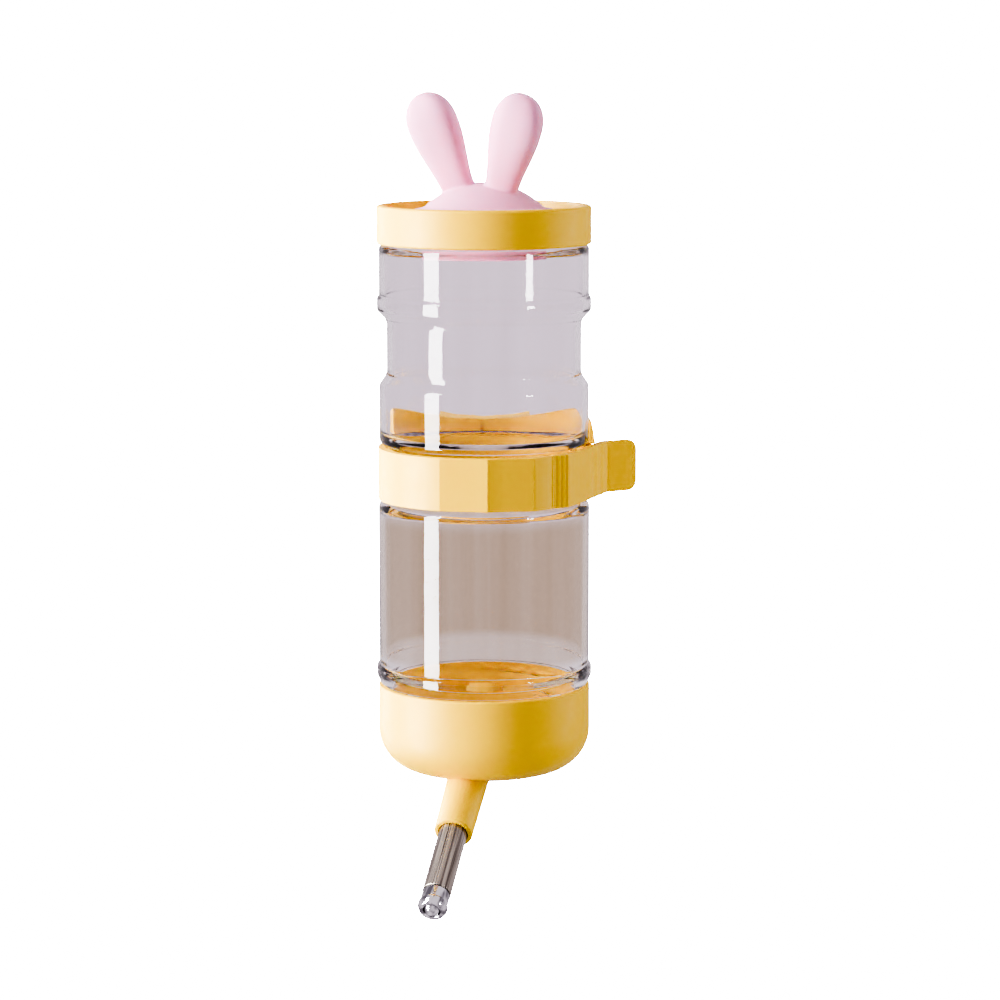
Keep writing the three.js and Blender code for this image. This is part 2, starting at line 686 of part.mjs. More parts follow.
// ---------------------------------------------------------------- assembly
const spout = new THREE.Group();
spout.quaternion.copy(spoutTurn);
spout.position.set(SPOUT_START_X, 0, SPOUT_START_Z);
spout.add(
  named('tube_grommet', tubeGrommet(), RUBBER),
  named('drink_tube', drinkTube(), STEEL),
  named('tube_tip', tubeTip(), POLISHED),
  named('valve_ball', valveBall(), POLISHED),
  named('ball_spring', ballSpring(), STEEL),
  named('spring_retainer', springRetainer(), STEEL),
);

const aroundBottle = new THREE.Group();
aroundBottle.position.y = BOTTLE_Y;
aroundBottle.add(
  named('bottle', bottle(), CLEAR),
  named('lid_ring', lidRing(), YELLOW),
  named('lid_gasket', lidGasket(), RUBBER),
  named('ear_stopper', earStopper(), PINK),
  named('base_cap', baseCap(), YELLOW),
  named('base_gasket', baseGasket(), RUBBER),
  named('strap', strap(), YELLOW),
  named('strap_pad', strapPad(), YELLOW),
  named('hinge_pin', hingePin(), STEEL),
  named('bracket', bracket(), YELLOW),
  named('bracket_pad', bracketPad(), YELLOW),
  spout,
);

const alongClamp = new THREE.Group();
alongClamp.rotation.x = -Math.PI / 2;
alongClamp.add(
  named('clamp_screw', clampScrew(), YELLOW),
  named('pressure_plate', pressurePlate(), YELLOW),
  named('flat_washer', flatWasher(), RUBBER),
  named('clamp_knob', knob(), YELLOW),
);

const waterBottle = new THREE.Group();
waterBottle.add(aroundBottle, alongClamp);
export default waterBottle;
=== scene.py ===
"""Looks of a rabbit's cage bottle: clear bottle, yellow lid, cap and ring, eared stopper and steel spout.

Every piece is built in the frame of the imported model. Lengths below are in millimetres and are turned into
metres by MM. Heights count from the middle of the ring, which lies at z = 0.
"""
import math

import bmesh
import bpy
from mathutils import Matrix, Vector
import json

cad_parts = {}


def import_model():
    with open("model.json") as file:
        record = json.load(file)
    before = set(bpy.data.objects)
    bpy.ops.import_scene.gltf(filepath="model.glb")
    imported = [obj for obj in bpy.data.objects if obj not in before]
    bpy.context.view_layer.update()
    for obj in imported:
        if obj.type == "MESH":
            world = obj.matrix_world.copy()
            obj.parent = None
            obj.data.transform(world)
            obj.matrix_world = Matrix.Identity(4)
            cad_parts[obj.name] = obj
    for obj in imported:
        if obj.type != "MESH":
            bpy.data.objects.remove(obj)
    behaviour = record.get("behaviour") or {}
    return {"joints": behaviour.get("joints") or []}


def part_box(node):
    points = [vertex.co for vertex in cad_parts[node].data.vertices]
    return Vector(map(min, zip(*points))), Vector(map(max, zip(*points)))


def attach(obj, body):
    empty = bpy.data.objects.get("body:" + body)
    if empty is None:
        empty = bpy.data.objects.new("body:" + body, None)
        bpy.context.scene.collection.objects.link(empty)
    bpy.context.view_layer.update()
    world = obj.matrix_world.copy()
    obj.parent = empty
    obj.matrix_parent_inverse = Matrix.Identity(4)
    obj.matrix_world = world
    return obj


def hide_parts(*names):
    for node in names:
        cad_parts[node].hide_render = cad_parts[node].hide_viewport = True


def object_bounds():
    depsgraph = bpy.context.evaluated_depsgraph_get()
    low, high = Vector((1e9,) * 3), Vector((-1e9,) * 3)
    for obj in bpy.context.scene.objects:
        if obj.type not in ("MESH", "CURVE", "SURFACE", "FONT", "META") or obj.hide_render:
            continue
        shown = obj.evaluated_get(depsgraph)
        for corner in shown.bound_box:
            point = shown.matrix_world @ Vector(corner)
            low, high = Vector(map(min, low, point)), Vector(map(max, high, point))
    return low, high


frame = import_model()
CAD_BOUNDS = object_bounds()

MM = 0.001
JOINTS = {joint["name"]: joint for joint in frame["joints"]}


# ---------------------------------------------------------------- places, from the frame
def middle(node):
    low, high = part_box(node)
    return (low + high) / 2


def levels(node):
    """Lowest and highest z of a node, in millimetres."""
    low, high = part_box(node)
    return low.z / MM, high.z / MM


def reach(node):
    """Half the width of a node, in millimetres."""
    low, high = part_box(node)
    return (high.x - low.x) / 2 / MM


BOTTLE_AXIS = Vector(JOINTS["bottle_swivel"]["pos_m"])
AT_BOTTLE = Matrix.Translation(BOTTLE_AXIS)
AT_HINGE = Matrix.Translation(JOINTS["strap_hinge"]["pos_m"])
SPOUT_AXIS = -Vector(JOINTS["ball_push"]["axis"]).normalized()
BALL_ALONG = 75.1  # from the bottle's axis to the ball, along the spout
SPOUT_START = middle("valve_ball") - SPOUT_AXIS * BALL_ALONG * MM
SPOUT_TURN = Vector((0, 0, 1)).rotation_difference(SPOUT_AXIS).to_matrix().to_4x4()
AT_SPOUT = Matrix.Translation(SPOUT_START) @ SPOUT_TURN  # local +Z runs down the spout
AT_CLAMP = Matrix.Rotation(-math.pi / 2, 4, "X")  # local +Z is the frame's +Y


# ---------------------------------------------------------------- mesh tools
FACETS = 160
SMALL_FACETS = 72
SHARP = math.radians(32)
FACETED = math.radians(9)


def polar(radius, degrees):
    """A point on a circle about the bottle's axis; the angle runs from the front towards +X."""
    angle = math.radians(degrees)
    return Vector((radius * math.sin(angle), -radius * math.cos(angle)))


def rounded(profile, steps=5, closed=True):
    """Corners (r, z, fillet) as a smooth outline of (r, z) points."""
    corners = [Vector(corner[:2]) for corner in profile]
    points = []
    for i, (_, _, fillet) in enumerate(profile):
        here = corners[i]
        if fillet == 0 or (not closed and i in (0, len(profile) - 1)):
            points.append(here)
            continue
        before, after = corners[i - 1] - here, corners[(i + 1) % len(corners)] - here
        half = before.angle(after) / 2
        run = min(fillet / math.tan(half), 0.49 * before.length, 0.49 * after.length)
        radius = run * math.tan(half)
        start, end = before.normalized() * run, after.normalized() * run
        centre = (start + end).normalized() * (radius / math.sin(half))
        start, end = start - centre, end - centre
        sweep = start.angle(end)
        for step in range(steps + 1):
            share = step / steps
            arm = start * math.sin((1 - share) * sweep) + end * math.sin(share * sweep)
            points.append(here + centre + arm / math.sin(sweep))
    return points


def refined(points, step, low, high):
    """The same closed outline with more points where its height is between low and high."""
    result = []
    for here, after in zip(points, points[1:] + points[:1]):
        result.append(here)
        inside = low <= here.y <= high and low <= after.y <= high
        count = math.ceil((after - here).length / step) if inside else 1
        result += [here.lerp(after, i / count) for i in range(1, count)]
    return result


def mesh_object(name, bm, place, sharp=SHARP):
    bmesh.ops.remove_doubles(bm, verts=bm.verts, dist=1e-7)
    bmesh.ops.recalc_face_normals(bm, faces=bm.faces)
    mesh = bpy.data.meshes.new(name)
    bm.to_mesh(mesh)
    bm.free()
    mesh.shade_smooth()
    mesh.set_sharp_from_angle(angle=sharp)
    piece = bpy.data.objects.new(name, mesh)
    bpy.context.scene.collection.objects.link(piece)
    piece.matrix_world = place
    return piece


def turned(name, outline, place, facets=FACETS, shift=None):
    """An outline of (r, z) turned about local +Z. shift(r, z, degrees) may move a point in or out."""
    bm = bmesh.new()
    rings = []
    for radius, height in outline:
        if radius < 1e-6:
            rings.append([bm.verts.new((0, 0, height * MM))] * facets)
            continue
        ring = []
        for i in range(facets):
            degrees = 360 * i / facets
            point = polar(radius + (shift(radius, height, degrees) if shift else 0), degrees) * MM
            ring.append(bm.verts.new((point.x, point.y, height * MM)))
        rings.append(ring)
    on_axis = outline[0][0] < 1e-6
    for ring, following in zip(rings, rings[1:] + ([] if on_axis else rings[:1])):
        for i in range(facets):
            j = (i + 1) % facets
            corners = [ring[i], ring[j], following[j], following[i]]
            corners = [v for k, v in enumerate(corners) if v is not corners[k - 1]]
            bm.faces.new(corners)
    return mesh_object(name, bm, place)


def prism(name, outline, low, high, place, edge=0.0, segments=3, sharp=SHARP):
    """A flat outline of (x, y) raised from low to high, with rounded long edges."""
    bm = bmesh.new()
    base = [bm.verts.new((point[0] * MM, point[1] * MM, low * MM)) for point in outline]
    face = bm.faces.new(base)
    raised = bmesh.ops.extrude_face_region(bm, geom=[face])["geom"]
    moved = [item for item in raised if isinstance(item, bmesh.types.BMVert)]
    bmesh.ops.translate(bm, verts=moved, vec=(0, 0, (high - low) * MM))
    bmesh.ops.recalc_face_normals(bm, faces=bm.faces)
    if edge:
        rims = [e for e in bm.edges if len(e.link_faces) == 2 and e.calc_face_angle() > SHARP]
        bmesh.ops.bevel(
            bm, geom=rims, offset=edge * MM, offset_type="OFFSET", segments=segments,
            profile=0.5, affect="EDGES", clamp_overlap=True,
        )
    return mesh_object(name, bm, place, sharp)


def arc(radius, start, end, step=2.5):
    count = max(1, round(abs(end - start) / step))
    return [polar(radius, start + (end - start) * i / count) for i in range(count + 1)]


def sector(inner, outer, start, end):
    return arc(inner, start, end) + arc(outer, end, start)


def swept(name, path, radius, place, sides=12):
    """A round wire along a path of points, with closed ends."""
    bm = bmesh.new()
    rings = []
    for i, point in enumerate(path):
        along = (path[min(i + 1, len(path) - 1)] - path[max(i - 1, 0)]).normalized()
        across = along.cross(Vector((0, 0, 1))).normalized()
        up = across.cross(along)
        ring = []
        for side in range(sides):
            angle = 2 * math.pi * side / sides
            ring.append(bm.verts.new(point + (across * math.cos(angle) + up * math.sin(angle)) * radius))
        rings.append(ring)
    for ring, following in zip(rings, rings[1:]):
        for i in range(sides):
            j = (i + 1) % sides
            bm.faces.new((ring[i], ring[j], following[j], following[i]))
    bm.faces.new(rings[0])
    bm.faces.new(rings[-1])
    return mesh_object(name, bm, place)


def applied(piece):
    """The piece with its modifiers made part of its mesh."""
    bpy.context.view_layer.update()
    graph = bpy.context.evaluated_depsgraph_get()
    mesh = bpy.data.meshes.new_from_object(piece.evaluated_get(graph))
    piece.modifiers.clear()
    piece.data = mesh
    mesh.shade_smooth()
    mesh.set_sharp_from_angle(angle=SHARP)
    return piece


def combined(piece, others, operation):
    for other in others:
        modifier = piece.modifiers.new("join", "BOOLEAN")
        modifier.operation = operation
        modifier.solver = "EXACT"
        modifier.object = other
    applied(piece)
    for other in others:
        bpy.data.objects.remove(other)
    return piece


def joined(piece, *others):
    return combined(piece, others, "UNION")


def cut(piece, *others):
    return combined(piece, others, "DIFFERENCE")


def softened(piece, voxel, rounds):
    """One skin over everything, with the seams blended as on a moulded part."""
    remesh = piece.modifiers.new("skin", "REMESH")
    remesh.mode = "VOXEL"
    remesh.voxel_size = voxel * MM
    smooth = piece.modifiers.new("blend", "SMOOTH")
    smooth.factor = 0.5
    smooth.iterations = rounds
    return applied(piece)


def bar(radius, low, high):
    return [(0, low), (radius, low), (radius, high), (0, high)]


# ---------------------------------------------------------------- materials
class Material:
    """A node material: a Principled shader and helpers that add what drives it."""

    def __init__(self, name, **uniform):
        self.data = bpy.data.materials.new(name)
        self.data.use_nodes = True
        self.nodes, self.links = self.data.node_tree.nodes, self.data.node_tree.links
        self.shader = self.nodes["Principled BSDF"]
        self.output = self.nodes["Material Output"]
        for socket, value in uniform.items():
            self.shader.inputs[socket.replace("_", " ")].default_value = value
        self.coordinates = self.nodes.new("ShaderNodeTexCoord").outputs["Object"]

    def mapped(self, scale):
        node = self.nodes.new("ShaderNodeMapping")
        node.inputs["Scale"].default_value = scale
        self.links.new(self.coordinates, node.inputs["Vector"])
        return node.outputs["Vector"]

    def noise(self, scale, detail=3.0, roughness=0.5, stretch=(1, 1, 1)):
        node = self.nodes.new("ShaderNodeTexNoise")
        node.inputs["Scale"].default_value = scale
        node.inputs["Detail"].default_value = detail
        node.inputs["Roughness"].default_value = roughness
        self.links.new(self.mapped(stretch), node.inputs["Vector"])
        return node.outputs["Fac"]

    def ranged(self, value, low, high, start=0.3, end=0.7, smooth=False):
        node = self.nodes.new("ShaderNodeMapRange")
        node.interpolation_type = "SMOOTHSTEP" if smooth else "LINEAR"
        for socket, number in zip(node.inputs[1:5], (start, end, low, high)):
            socket.default_value = number
        self.links.new(value, node.inputs["Value"])
        return node.outputs["Result"]

    def mixed(self, factor, first, second):
        node = self.nodes.new("ShaderNodeMix")
        node.data_type = "RGBA"
        for socket, value in ((node.inputs[6], first), (node.inputs[7], second)):
            if isinstance(value, tuple):
                socket.default_value = (*value, 1)
            else:
                self.links.new(value, socket)
        self.links.new(factor, node.inputs[0])
        return node.outputs[2]

    def height(self):
        node = self.nodes.new("ShaderNodeSeparateXYZ")
        self.links.new(self.coordinates, node.inputs["Vector"])
        return node.outputs["Z"]

    def drive(self, socket, value):
        self.links.new(value, self.shader.inputs[socket.replace("_", " ")])

    def bump(self, layers):
        """Layers of (height, strength, distance in millimetres), the finest last."""
        normal = None
        for value, strength, distance in layers:
            node = self.nodes.new("ShaderNodeBump")
            node.inputs["Strength"].default_value = strength
            node.inputs["Distance"].default_value = distance * MM
            self.links.new(value, node.inputs["Height"])
            if normal:
                self.links.new(normal, node.inputs["Normal"])
            normal = node.outputs["Normal"]
        self.links.new(normal, self.shader.inputs["Normal"])


def yellow_plastic():
    """Satin moulded plastic, slightly see-into, with a fine spark-eroded grain."""
    made = Material(
        "yellow_plastic",
        Subsurface_Weight=0.15,
        Subsurface_Radius=(1.0, 0.5, 0.08),
        Subsurface_Scale=0.0015,
        IOR=1.5,
        Specular_IOR_Level=0.22,
    )
    cloud = made.noise(60, detail=2)
    made.drive("Base_Color", made.mixed(cloud, (0.81, 0.478, 0.006), (0.84, 0.508, 0.009)))
    grain = made.noise(2600, detail=2)
    made.drive("Roughness", made.ranged(made.noise(240, detail=4), 0.42, 0.54))
    made.bump([(cloud, 0.08, 0.3), (grain, 0.12, 0.02)])
    return made.data


def pink_silicone():
    made = Material(
        "pink_silicone",
        Subsurface_Weight=0.4,
        Subsurface_Radius=(1.0, 0.35, 0.4),
        Subsurface_Scale=0.004,
        IOR=1.42,
        Specular_IOR_Level=0.3,
        Sheen_Weight=0.1,
        Sheen_Roughness=0.5,
    )
    cloud = made.noise(70, detail=2)
    made.drive("Base_Color", made.mixed(cloud, (0.79, 0.33, 0.52), (0.83, 0.37, 0.56)))
    grain = made.noise(3200, detail=2)
    made.drive("Roughness", made.ranged(made.noise(300, detail=4), 0.56, 0.66))
    made.bump([(cloud, 0.06, 0.3), (grain, 0.15, 0.02)])
    return made.data


GREY_FADES_UP = (-16 * MM, -10 * MM)  # heights between which the bottle's grey turns to lilac
GREY_FADES_DOWN = (-60 * MM, -56 * MM)  # and between which it clears again at the base


def clear_plastic():
    """Clear plastic with faint streaks and waves along its height. Its lower half is tinted grey."""
    made = Material(
        "clear_plastic",
        Transmission_Weight=1.0,
        IOR=1.16,
        Coat_Weight=0.25,
        Coat_IOR=1.5,
        Coat_Roughness=0.02,
    )
    height = made.height()
    above = made.ranged(height, 0.0, 1.0, *GREY_FADES_UP, smooth=True)
    below = made.ranged(height, 1.0, 0.0, *GREY_FADES_DOWN, smooth=True)
    streaks = made.ranged(made.noise(110, detail=3, stretch=(1, 1, 0.02)), 0.0, 1.0, start=0.35, end=0.65)
    lilac = made.mixed(streaks, (0.925, 0.885, 0.92), (0.955, 0.92, 0.955))
    grey = made.mixed(streaks, (0.69, 0.605, 0.50), (0.77, 0.70, 0.615))
    made.drive("Base_Color", made.mixed(below, made.mixed(above, grey, lilac), (0.96, 0.94, 0.95)))
    made.drive("Roughness", made.ranged(made.noise(150, detail=3), 0.01, 0.045))
    flow = made.noise(40, detail=2, stretch=(1, 1, 0.15))
    orange_peel = made.noise(350, detail=2, stretch=(1, 1, 0.5))
    made.bump([(flow, 0.25, 0.6), (orange_peel, 0.05, 0.05)])
    lets_light_in(made)
    return made.data


def lets_light_in(made):
    """Lamps shine through the wall onto what is behind it."""
    path = made.nodes.new("ShaderNodeLightPath")
    open_way = made.nodes.new("ShaderNodeBsdfTransparent")
    open_way.inputs["Color"].default_value = (0.56, 0.53, 0.48, 1)
    mix = made.nodes.new("ShaderNodeMixShader")
    made.links.new(path.outputs["Is Shadow Ray"], mix.inputs[0])
    made.links.new(made.shader.outputs["BSDF"], mix.inputs[1])
    made.links.new(open_way.outputs["BSDF"], mix.inputs[2])
    made.links.new(mix.outputs["Shader"], made.output.inputs["Surface"])


def white_rubber():
    made = Material("white_rubber", IOR=1.42, Subsurface_Weight=0.1, Subsurface_Scale=0.002)
    cloud = made.noise(90, detail=3)
    made.drive("Base_Color", made.mixed(cloud, (0.74, 0.72, 0.68), (0.80, 0.78, 0.74)))
    made.drive("Roughness", made.ranged(cloud, 0.6, 0.75))
    made.bump([(made.noise(2400, detail=2), 0.2, 0.03)])
    return made.data


def brushed_tube():
    """Drawn stainless tube: fine lines along its length, over slow dark and light bands of painted
    reflection.
    """
    made = Material("brushed_tube", Metallic=1.0)
    lines = made.noise(1500, detail=3, roughness=0.7, stretch=(1, 1, 0.015))
    # Painted reflection: slow dark and light bands in the steel's colour stand in for a room reflected in
    # the tube.
    painted_reflection_noise = made.noise(330, detail=2, stretch=(1, 1, 0.02))
    painted_reflections = made.mixed(made.ranged(painted_reflection_noise, 0.0, 1.0, 0.38, 0.6), (0.13, 0.115, 0.095), (0.42, 0.375, 0.32))
    scored = made.ranged(lines, 1.0, 0.0, 0.36, 0.55)
    made.drive("Base_Color", made.mixed(scored, painted_reflections, (0.09, 0.075, 0.065)))
    made.drive("Roughness", made.ranged(lines, 0.2, 0.38))
    made.bump([(lines, 0.5, 0.04)])
    return made.data


def polished_steel():
    """Mirror-bright, with slow dark and light bands of painted reflection in its colour."""
    made = Material("polished_steel", Metallic=1.0)
    # Painted reflection: these bands darken and lighten the steel's colour the way a reflected room would.
    painted_reflection_bands = made.ranged(made.noise(420, detail=2, stretch=(1, 1, 0.25)), 0.0, 1.0, 0.4, 0.6)
    made.drive("Base_Color", made.mixed(painted_reflection_bands, (0.16, 0.155, 0.17), (0.72, 0.71, 0.73)))
    made.drive("Roughness", made.ranged(made.noise(900, detail=3), 0.05, 0.12))
    made.bump([(made.noise(1200, detail=2), 0.04, 0.02)])
    return made.data


def spring_steel():
    made = Material("spring_steel", Metallic=1.0)
    cloud = made.noise(700, detail=3)
    made.drive("Base_Color", made.mixed(cloud, (0.5, 0.49, 0.47), (0.62, 0.6, 0.58)))
    made.drive("Roughness", made.ranged(cloud, 0.2, 0.34))
    made.bump([(made.noise(2500, detail=2), 0.1, 0.01)])
    return made.data


YELLOW = yellow_plastic()
PINK = pink_silicone()
CLEAR = clear_plastic()
RUBBER = white_rubber()
TUBE_STEEL = brushed_tube()
POLISHED = polished_steel()
WIRE = spring_steel()


def finished(piece, material, slot, body, *nodes):
    """Gives the piece its material and its CAD body, and hides the CAD nodes that it stands for."""
    piece.data.materials.clear()
    piece.data.materials.append(material)
    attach(piece, body)
    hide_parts(*nodes)
    return piece


# ---------------------------------------------------------------- threads on the necks
THREAD_LEAD = 9
THREAD_STARTS = 3
THREAD_ARC = 55  # degrees that one ridge runs round the neck
THREAD_RUN_IN = 8  # degrees over which its ends fade out
THREAD_HALF = 0.72  # half its width at the foot
THREAD_RISE = 0.85
THREAD_STEP = 0.3


def thread(height, degrees, start_height, start_turn):
    """How far a thread ridge stands off its wall, from 0 to 1."""
    tallest = 0
    for start in range(THREAD_STARTS):
        turn = (degrees - start_turn - 360 * start / THREAD_STARTS) % 360
        centre = start_height + THREAD_LEAD * (turn + start_turn) / 360
        across = 1 - abs(height - centre) / THREAD_HALF
        ends = min(turn, THREAD_ARC - turn) / THREAD_RUN_IN
        tallest = max(tallest, min(1, 1.8 * across, ends))
    return max(0, tallest)


# ---------------------------------------------------------------- bottle
LID_THREAD_HEIGHT = 74
BASE_THREAD_HEIGHT = -72
THREAD_OFFSET = THREAD_LEAD / THREAD_STARTS / 2
NECK_RADIUS = 30.5
LID_NECK_LENGTH = 6.3
BASE_NECK_LENGTH = 7.5
UPPER_RADIUS = 32.9
LOWER_RADIUS = 33.2
RIB_RADIUS = 33.55
WAIST_RADIUS = 30.5
GRIP_RADIUS = 29.15  # floor of the groove that the ring grips
FOOT_RADIUS = 34
GRIP_INSIDE = 27.3
WAIST_INSIDE = 28.6
UPPER_INSIDE = 31.0
LOWER_INSIDE = 31.3


def bottle():
    """The wall's outline runs down its outside from rim to foot and back up its inside."""
    bottom, top = levels("bottle")
    shoulder, base_shoulder = top - LID_NECK_LENGTH, bottom + BASE_NECK_LENGTH
    lid_neck, base_neck = NECK_RADIUS + 0.1, NECK_RADIUS - 0.1
    outline = rounded([
        (lid_neck, top, 0.6), (lid_neck, shoulder, 0.3), (UPPER_RADIUS, shoulder, 1.2),
        (UPPER_RADIUS, 56.0, 1.5), (RIB_RADIUS, 55.0, 1.2), (RIB_RADIUS, 51.3, 1.0),
        (WAIST_RADIUS + 0.5, 48.6, 1.2), (WAIST_RADIUS, 47.0, 1.5),
        (WAIST_RADIUS, 32.0, 1.5), (WAIST_RADIUS + 0.6, 30.4, 1.2),
        (UPPER_RADIUS, 27.8, 2.2), (UPPER_RADIUS, 9.0, 3.0),
        (GRIP_RADIUS, 9.0, 0.3), (GRIP_RADIUS, -8.8, 0.3),
        (LOWER_RADIUS, -8.8, 3.2), (LOWER_RADIUS, -60.4, 1.0),
        (FOOT_RADIUS, -61.5, 1.0), (FOOT_RADIUS, -64.1, 1.0), (32.8, base_shoulder, 0.5),
        (base_neck, base_shoulder, 0.3), (base_neck, bottom, 0.6),
        (28.5, bottom, 0.5), (28.5, -64.7, 1.0),
        (LOWER_INSIDE, -62.0, 1.8), (LOWER_INSIDE, -12.6, 2.6),
        (GRIP_INSIDE, -10.0, 1.6), (GRIP_INSIDE, 10.2, 1.6),
        (UPPER_INSIDE, 12.8, 2.6), (UPPER_INSIDE, 27.0, 2.0),
        (WAIST_INSIDE, 30.0, 1.8), (WAIST_INSIDE, 48.4, 1.8),
        (UPPER_INSIDE, 52.0, 1.8), (UPPER_INSIDE, shoulder - 2.4, 1.8),
        (28.7, shoulder - 1.2, 0.8), (28.7, top, 0.5),
    ], steps=6)
    outline = refined(outline, THREAD_STEP, shoulder - 0.2, top)
    outline = refined(outline, THREAD_STEP, bottom, base_shoulder + 0.2)

    def ridges(radius, height, degrees):
        if abs(radius - NECK_RADIUS) > 0.2:
            return 0
        if height > shoulder + 0.3:
            return THREAD_RISE * thread(height, degrees, LID_THREAD_HEIGHT, 0)
        if height < base_shoulder - 0.3:
            return THREAD_RISE * thread(height, degrees, BASE_THREAD_HEIGHT, 0)
        return 0

    piece = turned("clear_bottle", outline, AT_BOTTLE, shift=ridges)
    return finished(piece, CLEAR, "clear_plastic", "bottle", "bottle")


# ---------------------------------------------------------------- lid and stopper
GAP = 0.3
LID_RECESS = 3
LID_DISC = 1.7
LID_RECESS_RADIUS = 31
LID_HOLE_RADIUS = 19.9
LID_SKIRT_RADIUS = 31.9


def lid():
    low, high = levels("lid_ring")
    outer = reach("lid_ring")
    floor, underside = high - LID_RECESS, high - LID_RECESS - LID_DISC
    outline = rounded([
        (LID_SKIRT_RADIUS, low, 0.3), (outer - 0.35, low, 0.3),
        (outer, low + 0.5, 0.4), (outer, high, 0.9),
        (LID_RECESS_RADIUS, high, 0.7), (LID_RECESS_RADIUS, floor, 0.6),
        (LID_HOLE_RADIUS, floor, 0.3), (LID_HOLE_RADIUS, underside, 0.3),
        (LID_SKIRT_RADIUS, underside, 0.3),
    ])
    outline = refined(outline, THREAD_STEP, low, underside)

    def ridges(radius, height, degrees):
        if abs(radius - LID_SKIRT_RADIUS) > 0.05 or not low + 0.2 < height < underside - 0.2:
            return 0
        return -THREAD_RISE * thread(height, degrees, LID_THREAD_HEIGHT - THREAD_OFFSET, 40)

    piece = turned("screw_lid", outline, AT_BOTTLE, shift=ridges)
    return finished(piece, YELLOW, "yellow_plastic", "lid", "lid_ring")


EAR_LENGTH = 31.2
EAR_ROOT = 4
EAR_HALF_WIDTH = 8.1
EAR_SPACING = 7.2
EAR_FORWARD = 3.8
EAR_SPLAY = math.radians(18.5)
EAR_LEAN = math.radians(12)
EAR_YAW = math.radians(20)
EAR_WIDEST = 0.66  # share of its length
EAR_ROOT_WIDTH = 0.66  # share of its greatest width
EAR_DEPTH = 0.62  # share of its width
EAR_ROUNDNESS = 0.74  # 1 for an oval section, less for a boxier one
DOME_RADIUS = 26.5
DOME_CENTRE = 64.4


def ear_width(share):
    """Half width of an ear at a share of its length: narrow root, widest high up, round tip."""
    if share <= EAR_WIDEST:
        swell = math.sin(math.pi / 2 * share / EAR_WIDEST) ** 1.6
        return EAR_ROOT_WIDTH + (1 - EAR_ROOT_WIDTH) * swell
    return math.sqrt(max(0, 1 - ((share - EAR_WIDEST) / (1 - EAR_WIDEST)) ** 2.3))


def ear(side):
    """A paddle with a broad flattish front and back and tight round edges."""
    front = Vector((-math.sin(EAR_YAW), -math.cos(EAR_YAW), 0))
    right = Vector((math.cos(EAR_YAW), -math.sin(EAR_YAW), 0))
    up = right * side * math.sin(EAR_SPLAY) + front * math.sin(EAR_LEAN)
    up = (up + Vector((0, 0, math.cos(EAR_SPLAY) * math.cos(EAR_LEAN)))).normalized()
    across = (right - up * right.dot(up)).normalized()
    through = up.cross(across)
    root = right * side * EAR_SPACING + front * EAR_FORWARD
    root.z = DOME_CENTRE + math.sqrt(DOME_RADIUS ** 2 - root.length_squared)

    rows, sides = 40, 56
    bm = bmesh.new()
    rings = []
    for row in range(rows + 1):
        share = 1 - (1 - row / rows) ** 1.5
        along = -EAR_ROOT + (EAR_LENGTH + EAR_ROOT) * share
        half = EAR_HALF_WIDTH * ear_width(max(0, along / EAR_LENGTH))
        deep = half * EAR_DEPTH
        ring = []
        for i in range(sides):
            angle = 2 * math.pi * i / sides
            x = half * math.copysign(abs(math.cos(angle)) ** EAR_ROUNDNESS, math.cos(angle))
            y = deep * math.copysign(abs(math.sin(angle)) ** EAR_ROUNDNESS, math.sin(angle))
            ring.append(bm.verts.new((root + up * along + across * x + through * y) * MM))
        rings.append(ring)
    for ring, following in zip(rings, rings[1:]):
        for i in range(sides):
            j = (i + 1) % sides
            bm.faces.new((ring[i], ring[j], following[j], following[i]))
    bm.faces.new(rings[0])
    if all((v.co - rings[-1][0].co).length > 1e-6 for v in rings[-1][1:]):
        bm.faces.new(rings[-1])
    return mesh_object("ear", bm, AT_BOTTLE)


PLUG_RADIUS = 19.5
PLUG_INSIDE = 16.9
PLUG_HOLLOW = 17.5  # depth of the plug's cup
FLANGE_RADIUS = 22.3
FLANGE = 1.3
DOME_STEPS = 20


def stopper():
    plug_bottom = levels("ear_stopper")[0]
    flange = levels("lid_ring")[1] - LID_RECESS + GAP
    dome_edge = math.degrees(math.asin((flange + FLANGE - DOME_CENTRE) / DOME_RADIUS))
    dome = []
    for i in range(1, DOME_STEPS):
        angle = math.radians(dome_edge + (90 - dome_edge) * i / DOME_STEPS)
        dome.append(Vector((DOME_RADIUS * math.cos(angle), DOME_CENTRE + DOME_RADIUS * math.sin(angle))))
    dome.append(Vector((0, DOME_CENTRE + DOME_RADIUS)))
    cup_top = plug_bottom + PLUG_HOLLOW
    skirt = rounded([
        (0, cup_top, 0), (10, cup_top, 3), (PLUG_INSIDE, flange, 4), (PLUG_INSIDE, plug_bottom, 0.8),
        (PLUG_RADIUS, plug_bottom, 1.0), (PLUG_RADIUS, flange, 0.2),
        (FLANGE_RADIUS, flange, 0.4), (FLANGE_RADIUS, flange + FLANGE, 0.5), (20.4, flange + 1.5, 0),
    ], closed=False)
    body = turned("ear_stopper_skin", [*skirt, *dome], AT_BOTTLE, facets=120)
    joined(body, ear(-1), ear(1))
    softened(body, 0.42, 5)
    return finished(body, PINK, "pink_silicone", "stopper", "ear_stopper")


# ---------------------------------------------------------------- base cap and spout
CAP_HEIGHT = 27.4
CAP_DEPTH = 24.6
CAP_SHELF = 9  # from the rim down to the shelf that the gasket lies on
CAP_ROUND = 15.5  # radius of the bowl's outer edge
CAP_THREAD_RADIUS = 31.6
CAP_WELL_RADIUS = 28.6

BOSS_START = 1.5  # lengths along the spout, from the bottle's axis
BOSS_END = 22
BOSS_RADIUS = 8
SEAT_END = 7
SEAT_RADIUS = 6.4
SLEEVE_END = 44.5
SLEEVE_ROOT_RADIUS = 6.75
SLEEVE_TIP_RADIUS = 6
SLEEVE_BORE_RADIUS = 4.7


